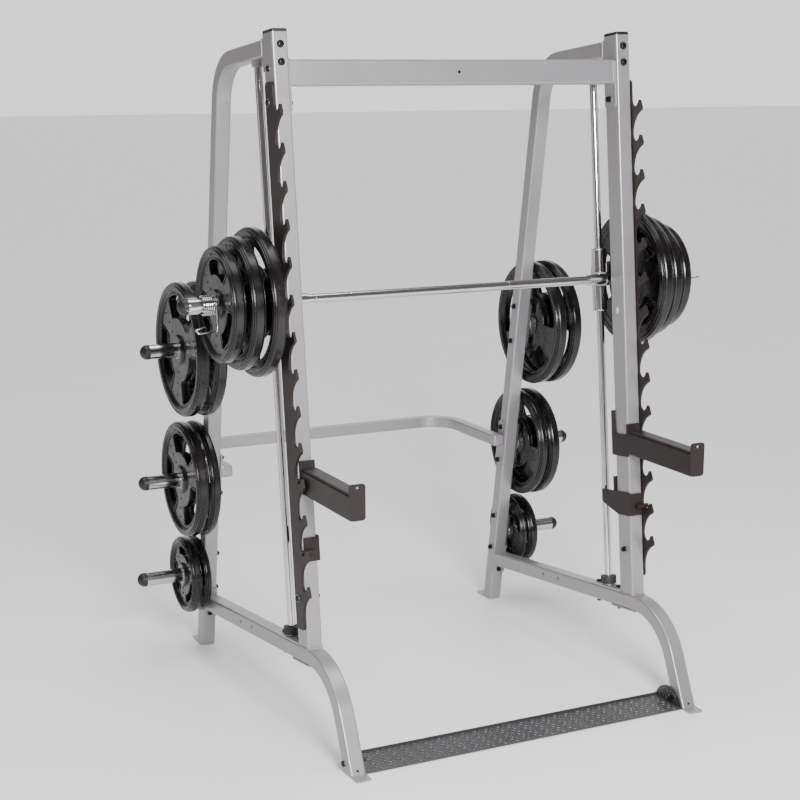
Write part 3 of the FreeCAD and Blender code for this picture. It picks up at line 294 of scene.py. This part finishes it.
def add_tube(mesh, points, radius, closed=False, sides=8):
    """Adds a round tube along points; radius is a number or a function of the point's index."""
    count = len(points)
    rings = []
    normal = None
    for k, point in enumerate(points):
        before = points[(k - 1) % count] if closed or k else point
        after = points[(k + 1) % count] if closed or k < count - 1 else point
        along = (after - before).normalized()
        if normal is None:
            normal = along.orthogonal().normalized()
        normal = (normal - along * normal.dot(along)).normalized()
        side = along.cross(normal)
        size = radius(k) if callable(radius) else radius
        rings.append([
            mesh.verts.new(point + (normal * math.cos(a) + side * math.sin(a)) * size)
            for a in (2 * math.pi * j / sides for j in range(sides))
        ])
    if closed:
        shift = closing_shift(rings, sides)
        join_rings(mesh, rings[-1], rings[0], sides, shift)
    else:
        mesh.faces.new(rings[0])
        mesh.faces.new(list(reversed(rings[-1])))
    for first, second in zip(rings, rings[1:]):
        join_rings(mesh, first, second, sides, 0)


def closing_shift(rings, sides):
    """How far the last ring has turned from the first, in whole sides."""
    start = rings[-1][0].co
    return min(range(sides), key=lambda j: (rings[0][j].co - start).length)


def join_rings(mesh, first, second, sides, shift):
    for j in range(sides):
        after = (j + 1) % sides
        mesh.faces.new((first[j], first[after], second[(after + shift) % sides], second[(j + shift) % sides]))


def add_lathe(mesh, centre, axis, profile, steps=96):
    """Adds a closed ring turned about an axis; profile is (radius, distance along) in metres."""
    across = axis.orthogonal().normalized()
    other = axis.cross(across)
    rings = []
    for k in range(steps):
        angle = 2 * math.pi * k / steps
        outward = across * math.cos(angle) + other * math.sin(angle)
        rings.append([mesh.verts.new(centre + outward * r + axis * z) for r, z in profile])
    sides = len(profile)
    for k in range(steps):
        join_rings(mesh, rings[k], rings[(k + 1) % steps], sides, 0)


def add_dome(mesh, centre, outward, radius, tall, sides=12, levels=4):
    """Adds a low round button that stands on a surface."""
    across = outward.orthogonal().normalized()
    other = outward.cross(across)
    rings = []
    for level in range(levels):
        angle = 0.5 * math.pi * level / levels
        size, lift = radius * math.cos(angle), tall * math.sin(angle)
        rings.append([
            mesh.verts.new(centre + outward * lift + (across * math.cos(a) + other * math.sin(a)) * size)
            for a in (2 * math.pi * j / sides for j in range(sides))
        ])
    top = mesh.verts.new(centre + outward * tall)
    for first, second in zip(rings, rings[1:]):
        join_rings(mesh, first, second, sides, 0)
    for j in range(sides):
        mesh.faces.new((rings[-1][j], rings[-1][(j + 1) % sides], top))
    mesh.faces.new(list(reversed(rings[0])))


# ---------------------------------------------------------------- weight plates

# Plate radius in mm: the grip's inner and outer edge as shares of it, and half its angle in degrees.
GRIPS = {225: (0.46, 0.82, 40), 200: (0.46, 0.81, 40), 175: (0.50, 0.78, 34),
         135: (0.52, 0.76, 36)}
BAR_GRIPS = {225: (0.50, 0.80, 33), 200: (0.50, 0.79, 33), 175: (0.50, 0.78, 34)}
BAR_SPIN = {"inner": 25, "middle": 25, "outer": 8}
PEG_SPIN = {"inner": 50, "outer": 12}


def radial(angle):
    """Direction in the plate's plane, turned from straight up about +X by degrees."""
    turn = math.radians(angle)
    return Vector((0, -math.sin(turn), math.cos(turn)))


def grip_outline(inner, outer, half_angle, corner):
    """Rounded sector outline as (radius, angle in degrees) pairs."""
    pairs = []
    corners = (
        (outer - corner, half_angle, 1, (90, 0)),
        (inner + corner, half_angle, 1, (0, -90)),
        (inner + corner, half_angle, -1, (-90, 0)),
        (outer - corner, half_angle, -1, (0, 90)),
    )
    for radius, half, side, (first, last) in corners:
        centre = half - math.degrees(corner / radius)
        for k in range(6):
            lean = math.radians(first + (last - first) * k / 5)
            turn = centre + math.degrees(corner * math.cos(lean) / radius)
            pairs.append((radius + corner * math.sin(lean), side * turn))
    return pairs


def fill_arcs(pairs, step):
    """Adds points along the long arcs so that the outline stays round."""
    filled = []
    for (r0, a0), (r1, a1) in zip(pairs, pairs[1:] + pairs[:1]):
        filled.append((r0, a0))
        gap = a1 - a0
        pieces = int(abs(gap) // step)
        for k in range(1, pieces):
            filled.append((r0 + (r1 - r0) * k / pieces, a0 + gap * k / pieces))
    return filled


def plate_trim(node, spin, grip):
    """Raised rim beads, grip lips and small studs on both faces of one plate."""
    low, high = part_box(node)
    centre = (low + high) / 2
    size = (high.z - low.z) / 2
    half = (high.x - low.x) / 2
    rim = size - max(0.14 * size, 24 * MM)
    web = max(3 * MM, half - 9.5 * MM)
    inner, outer, half_angle = grip
    outline = fill_arcs(grip_outline(inner * size, outer * size, half_angle, 0.055 * size), 4)
    beads = ((size - 13 * MM, half - 0.6 * MM, 1.7 * MM), (size - 6 * MM, half - 3.6 * MM, 1.5 * MM),
             (rim + 4 * MM, half - 1.6 * MM, 1.6 * MM))
    mesh = bmesh.new()
    axis = Vector((1, 0, 0))
    for face in (-1, 1):
        for bead_radius, lift, thick in beads:
            ring = [(bead_radius + thick * math.cos(a), face * (lift + thick * math.sin(a)))
                    for a in (2 * math.pi * k / 8 for k in range(8))]
            add_lathe(mesh, centre, axis, ring)
        for grip_index in range(3):
            turn = spin + 120 * grip_index
            path = [centre + axis * (face * web) + radial(turn + a) * (r + 0.4 * MM) for r, a in outline]
            add_tube(mesh, path, 3.2 * MM, closed=True)
            spoke = turn + 60
            hub = 0.1 * size + 25 * MM
            for k, share in enumerate((0.22, 0.5, 0.78)):
                spot = centre + axis * (face * web) + radial(spoke) * (hub + (rim - hub) * share)
                add_dome(mesh, spot, axis * face, (4.2 - 0.5 * k) * MM, 2.2 * MM)
    finish_piece(mesh, node + "_trim", PLATE_RUBBER, node)
    ring_mesh = bmesh.new()
    bore = 25.85 * MM
    for face in (-1, 1):
        lift = half - 1.2 * MM
        profile = [(bore, face * (lift - 4 * MM)), (bore, face * (lift + 0.9 * MM)),
                   (bore + 3.4 * MM, face * (lift + 0.9 * MM)), (bore + 4.6 * MM, face * (lift - 0.2 * MM)),
                   (bore + 4.6 * MM, face * (lift - 4 * MM))]
        add_lathe(ring_mesh, centre, axis, profile, 64)
    finish_piece(ring_mesh, node + "_hub_ring", ZINC, node)


def trim_all_plates():
    for side, _ in SIDES:
        for name, spin in BAR_SPIN.items():
            node = f"{side}_bar_plate_{name}"
            low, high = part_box(node)
            plate_trim(node, spin, BAR_GRIPS[round((high.z - low.z) / 2 / MM)])
        for level in ("upper", "mid", "low"):
            for name, spin in PEG_SPIN.items():
                node = f"{side}_{level}_plate_{name}"
                low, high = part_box(node)
                plate_trim(node, spin, GRIPS[round((high.z - low.z) / 2 / MM)])


# ---------------------------------------------------------------- bar and carriage details

def bar_knurl():
    """Diamond knurling on the two grip stretches, and the smooth ring marks beside them."""
    centre = middle("bar")
    radius = 14 * MM
    grip_in, grip_out, ring_mark = 199 * MM, 480 * MM, 362 * MM
    axis = Vector((1, 0, 0))
    around, step = 48, 1.6 * MM
    for side, sign in SIDES:
        mesh = bmesh.new()
        rows = int((grip_out - grip_in) / step)
        rings = []
        for row in range(rows + 1):
            x = grip_in + row * step
            plain = row in (0, rows) or abs(x - ring_mark) < 3 * MM
            ring = []
            for k in range(around):
                raised = (row + k) % 2 == 0 and not plain
                lift = radius + (0.42 * MM if raised else 0.05 * MM)
                turn = 2 * math.pi * k / around
                outward = Vector((0, math.cos(turn), math.sin(turn)))
                ring.append(mesh.verts.new(centre + axis * (sign * x) + outward * lift))
            rings.append(ring)
        for first, second in zip(rings, rings[1:]):
            join_rings(mesh, first, second, around, 0)
        mesh.faces.new(rings[0])
        mesh.faces.new(list(reversed(rings[-1])))
        finish_piece(mesh, side + "_bar_knurl", CHROME, "bar")


def sleeve_rings():
    """Turned rings at the outer end of each loading sleeve."""
    axis = Vector((1, 0, 0))
    for side, sign in SIDES:
        mesh = bmesh.new()
        low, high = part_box(side + "_bar_sleeve")
        centre = (low + high) / 2
        edge = high.x if sign > 0 else low.x
        for offset in (1.5, 4.5):
            spot = Vector((edge - sign * offset * MM, centre.y, centre.z))
            ring = [(25 * MM + 0.35 * MM * math.cos(a), 0.9 * MM * math.sin(a))
                    for a in (2 * math.pi * k / 8 for k in range(8))]
            add_lathe(mesh, spot, axis, ring, 64)
        finish_piece(mesh, side + "_sleeve_rings", CHROME, "bar")


def bearing_seals():
    """Wiper seals and retaining rings at both ends of each bearing housing."""
    for side, sign in SIDES:
        x = sign * ROD_X
        seals = bmesh.new()
        rings = bmesh.new()
        for height, way in HOUSING_ENDS:
            spot = rack(x, ROD_BEHIND, height)
            out = UP * way
            add_lathe(seals, spot, out, [(12.7 * MM, -1 * MM), (12.7 * MM, 1.6 * MM), (15 * MM, 2.6 * MM),
                                         (19 * MM, 1.4 * MM), (19 * MM, -1 * MM)], 48)
            add_lathe(rings, spot, out, [(19.2 * MM, -1 * MM), (19.2 * MM, 1.2 * MM), (21.5 * MM, 1.8 * MM),
                                         (23.7 * MM, 0.8 * MM), (24.4 * MM, -0.6 * MM), (24.4 * MM, -3 * MM),
                                         (22 * MM, -3 * MM)], 64)
        finish_piece(seals, side + "_bearing_seals", BUMPER_RUBBER, "carriage")
        finish_piece(rings, side + "_bearing_rings", CHROME, "carriage")


# ---------------------------------------------------------------- foot bar tread

def foot_bar_tread():
    """Raised diamond bars over the deck and on the folded end tabs."""
    low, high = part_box("foot_bar")
    deck = low.z + 4 * MM
    mesh = bmesh.new()
    length, width, tall, pitch = 17 * MM, 5 * MM, 1.5 * MM, 21 * MM
    rows = int((high.y - low.y - 8 * MM) / (pitch * 0.72))
    columns = int((high.x - low.x - 20 * MM) / pitch)
    for row in range(rows):
        y = low.y + 10 * MM + row * pitch * 0.72
        for column in range(columns):
            x = low.x + 14 * MM + column * pitch + (row % 2) * pitch / 2
            if x > high.x - 14 * MM:
                continue
            lean = math.radians(38 if (row + column) % 2 else -38)
            add_lozenge(mesh, Vector((x, y, deck)), Vector((math.cos(lean), math.sin(lean), 0)),
                        Vector((0, 0, 1)), length, width, tall)
    for sign in (-1, 1):
        face_x = (high.x if sign > 0 else low.x) - sign * 4 * MM
        for row in range(3):
            for column in range(6):
                y = low.y + 27 * MM + column * 19 * MM + (row % 2) * 8 * MM
                z = deck + 10 * MM + row * 12 * MM
                if tab_height(y, low.y, high.y) < z - deck + 8 * MM or near_bolt(y, z):
                    continue
                lean = math.radians(38 if (row + column) % 2 else -38)
                add_lozenge(mesh, Vector((face_x, y, z)), Vector((0, math.cos(lean), math.sin(lean))),
                            Vector((-sign, 0, 0)), 13 * MM, 4 * MM, 1.2 * MM)
    finish_piece(mesh, "foot_bar_tread", TREAD_CREST, "frame")


def tab_height(y, low, high):
    """Height of a tab's round top above the deck at a depth."""
    share = (y - low) / (high - low) * 2 - 1
    return 52 * MM * (1 - share * share)


def near_bolt(y, z):
    """Whether a spot on an end tab would sit under the bolt's washer."""
    bolt, clearance = Vector((-752 * MM, 28 * MM)), 20 * MM
    return (Vector((y, z)) - bolt).length < clearance


def add_lozenge(mesh, centre, along, outward, length, width, tall):
    """A raised bar with pointed ends and a rounded crest."""
    across = outward.cross(along)
    base, crest = [], []
    steps = 10
    for k in range(steps):
        turn = 2 * math.pi * k / steps
        x = math.copysign(abs(math.cos(turn)) ** 1.4, math.cos(turn)) * length / 2
        y = math.sin(turn) * width / 2
        base.append(mesh.verts.new(centre + along * x + across * y - outward * 0.2 * MM))
        crest.append(mesh.verts.new(centre + along * x * 0.72 + across * y * 0.5 + outward * tall))
    join_rings(mesh, base, crest, steps, 0)
    mesh.faces.new(crest)
    mesh.faces.new(list(reversed(base)))


# ---------------------------------------------------------------- welds

def ripple(radius, spacing):
    """Radius of a weld bead that swells and shrinks along its length."""
    return lambda k: radius * (1 + 0.16 * math.sin(2 * math.pi * k / spacing))


def weld_loop(mesh, corners, radius=2.6 * MM, step=1.6 * MM):
    """A closed rippled bead through the corners."""
    points = []
    for start, finish in zip(corners, corners[1:] + corners[:1]):
        pieces = max(2, int((finish - start).length / step))
        points += [start.lerp(finish, k / pieces) for k in range(pieces)]
    add_tube(mesh, points, ripple(radius, 4), closed=True, sides=6)


def soft_corners(a, b, c, d, cut):
    """Rectangle corners cut back so that the bead turns smoothly."""
    loop = (a, b, c, d)
    points = []
    for k, corner in enumerate(loop):
        before, after = loop[k - 1], loop[(k + 1) % 4]
        points += [corner + (near - corner).normalized() * cut for near in (before, after)]
    return points


def weld_box(mesh, sections):
    """A bead round a rectangle given by four (x, behind, height) corners."""
    weld_loop(mesh, soft_corners(*(rack(*corner) for corner in sections), BEAD_CUT * MM))


def frame_welds():
    """Beads at the upright's foot, the rear frame's end and the crossbeam's flange, on each side."""
    mesh = bmesh.new()
    for _, sign in SIDES:
        near, far = (sign * x for x in UPRIGHT_X)
        weld_box(mesh, ((near, -1, 1), (far, -1, 1), (far, 76, 1), (near, 76, 1)))
        weld_box(mesh, ((near, 82, 1776), (far, 82, 1776), (far, 82, 1828), (near, 82, 1828)))
        beam = sign * BEAM_WELD_X
        weld_box(mesh, ((beam, 12, 1687), (beam, 63, 1687), (beam, 63, 1764), (beam, 12, 1764)))
    finish_piece(mesh, "frame_welds", SILVER, "frame")


def upright_plug():
    """Small white plug pressed into the inner face of the right upright."""
    mesh = bmesh.new()
    centre = rack(UPRIGHT_X[0] + 1, 40, 958)
    inward = Vector((-1, 0, 0))
    half_deep, half_tall = 7 * MM, 11 * MM
    rings = []
    for grow, lift in ((1.0, -1.5), (1.0, 0.8), (0.92, 1.6), (0.6, 2.1), (0.2, 2.2)):
        ring = []
        for k in range(32):
            turn = 2 * math.pi * k / 32
            across = BACK * (math.cos(turn) * half_deep * grow)
            along = UP * (math.sin(turn) * half_tall * grow)
            ring.append(mesh.verts.new(centre + across + along + inward * (lift * MM)))
        rings.append(ring)
    for first, second in zip(rings, rings[1:]):
        join_rings(mesh, first, second, 32, 0)
    mesh.faces.new(rings[-1])
    mesh.faces.new(list(reversed(rings[0])))
    finish_piece(mesh, "upright_plug", WHITE_PLASTIC, "frame")


def brace_end_caps():
    """Painted caps over the two open ends of the rear brace."""
    tube_x, front, height, half = 541 * MM, 392 * MM, 662 * MM, 20 * MM
    mesh = bmesh.new()
    for _, sign in SIDES:
        centre = Vector((sign * tube_x, front, height))
        rings = []
        for size, lift in ((0.86, -6), (0.86, -0.1), (1.0, 0), (1.0, 2.0), (0.94, 3.2), (0.6, 3.8)):
            ring = []
            for k in range(32):
                turn = 2 * math.pi * (k + 0.5) / 32
                x, z = square_point(turn, half * size)
                ring.append(mesh.verts.new(centre + Vector((x, -lift * MM, z))))
            rings.append(ring)
        for first, second in zip(rings, rings[1:]):
            join_rings(mesh, first, second, 32, 0)
        mesh.faces.new(rings[-1])
        mesh.faces.new(list(reversed(rings[0])))
    finish_piece(mesh, "brace_end_caps", SILVER, "frame")


def square_point(turn, half):
    """A point at an angle on a square outline with round corners."""
    power = 8
    x, z = math.cos(turn), math.sin(turn)
    reach = half / (abs(x) ** power + abs(z) ** power) ** (1 / power)
    return x * reach, z * reach


# ---------------------------------------------------------------- floor, light, camera

FLOOR_HALF = 60                  # metres from the middle to an edge
CEILING_STRENGTH, CEILING_ANGLE = 2.6, 0.9
CAMERA_PLACE = (-2.493, -4.979, 2.046)
CAMERA_DOWN, CAMERA_ROLL = 13.99, 0.06   # degrees
CAMERA_LENS, CAMERA_SHIFT = 75.54, (-0.0369, 0.0992)


def add_floor():
    mesh = bmesh.new()
    bmesh.ops.create_grid(mesh, x_segments=1, y_segments=1, size=FLOOR_HALF)
    data = bpy.data.meshes.new("floor")
    mesh.to_mesh(data)
    mesh.free()
    floor = bpy.data.objects.new("floor", data)
    bpy.context.scene.collection.objects.link(floor)
    shader = Shader("floor")
    shader.colour(shader.ramp(shader.noise(2, 3), ((0.3, (0.87, 0.87, 0.87)), (0.7, (0.89, 0.89, 0.885)))))
    shader.plain(Roughness=0.45)
    data.materials.append(shader.material)


def add_light(name, place, target, size, power, colour):
    lamp = bpy.data.lights.new(name, "AREA")
    lamp.shape = "RECTANGLE"
    lamp.size, lamp.size_y = size
    lamp.energy = power
    lamp.color = colour
    obj = bpy.data.objects.new(name, lamp)
    obj.location = place
    obj.rotation_euler = (Vector(target) - Vector(place)).to_track_quat("-Z", "Y").to_euler()
    bpy.context.scene.collection.objects.link(obj)


def add_world():
    """A grey studio with a white sweep behind the machine, so that dark parts stay dark."""
    world = bpy.data.worlds.new("studio")
    world.use_nodes = True
    tree = world.node_tree
    background = tree.nodes["Background"]
    coord = tree.nodes.new("ShaderNodeTexCoord")
    toward = tree.nodes.new("ShaderNodeVectorMath")
    toward.operation = "DOT_PRODUCT"
    toward.inputs[1].default_value = (math.sin(HEADING), math.cos(HEADING), 0)
    ramp = tree.nodes.new("ShaderNodeValToRGB")
    tree.links.new(coord.outputs["Generated"], toward.inputs[0])
    tree.links.new(toward.outputs["Value"], ramp.inputs["Fac"])
    tree.links.new(ramp.outputs["Color"], background.inputs["Color"])
    dim, bright = ramp.color_ramp.elements
    dim.position, dim.color = 0.72, (0.10, 0.093, 0.09, 1)
    bright.position, bright.color = 0.9, (0.68, 0.68, 0.68, 1)
    background.inputs["Strength"].default_value = WORLD_STRENGTH
    bpy.context.scene.world = world


def add_ceiling():
    """Even soft light from straight above, which evens out the tone of the floor."""
    lamp = bpy.data.lights.new("ceiling", "SUN")
    lamp.energy = CEILING_STRENGTH
    lamp.angle = CEILING_ANGLE
    bpy.context.scene.collection.objects.link(bpy.data.objects.new("ceiling", lamp))


def add_lights():
    add_world()
    add_light("key", (-1.0, -5.4, 3.0), (-0.3, 0, 1.1), (1.5, 1.5), 540, (1.0, 0.985, 0.995))
    add_ceiling()
    add_light("warm_side", (-4.6, 0.6, 1.2), (0, 0, 1.0), (1.4, 2.4), 12, (1.0, 0.80, 0.70))
    add_light("cool_side", (4.2, -2.4, 2.4), (0, 0, 1.1), (1.2, 3.0), 20, (0.9, 0.95, 1.0))


def add_camera():
    """The viewpoint: front left, a little above the bar, looking slightly down."""
    place = Vector(CAMERA_PLACE)
    down, roll = math.radians(CAMERA_DOWN), math.radians(CAMERA_ROLL)
    forward = Vector((math.sin(HEADING) * math.cos(down), math.cos(HEADING) * math.cos(down),
                      -math.sin(down)))
    right = Vector((math.cos(HEADING), -math.sin(HEADING), 0))
    upward = right.cross(forward)
    level_right = right * math.cos(roll) + upward * math.sin(roll)
    level_up = upward * math.cos(roll) - right * math.sin(roll)
    camera = bpy.data.cameras.new("camera")
    camera.sensor_width = 36
    camera.lens = CAMERA_LENS
    camera.shift_x, camera.shift_y = CAMERA_SHIFT
    camera.clip_end = 100
    obj = bpy.data.objects.new("camera", camera)
    turn = Matrix((level_right, level_up, -forward)).transposed()
    obj.matrix_world = Matrix.Translation(place) @ turn.to_4x4()
    bpy.context.scene.collection.objects.link(obj)
    bpy.context.scene.camera = obj


# ---------------------------------------------------------------- build

add_camera()
dress_nodes()
trim_all_plates()
bar_knurl()
sleeve_rings()
bearing_seals()
foot_bar_tread()
frame_welds()
upright_plug()
brace_end_caps()
add_floor()
add_lights()
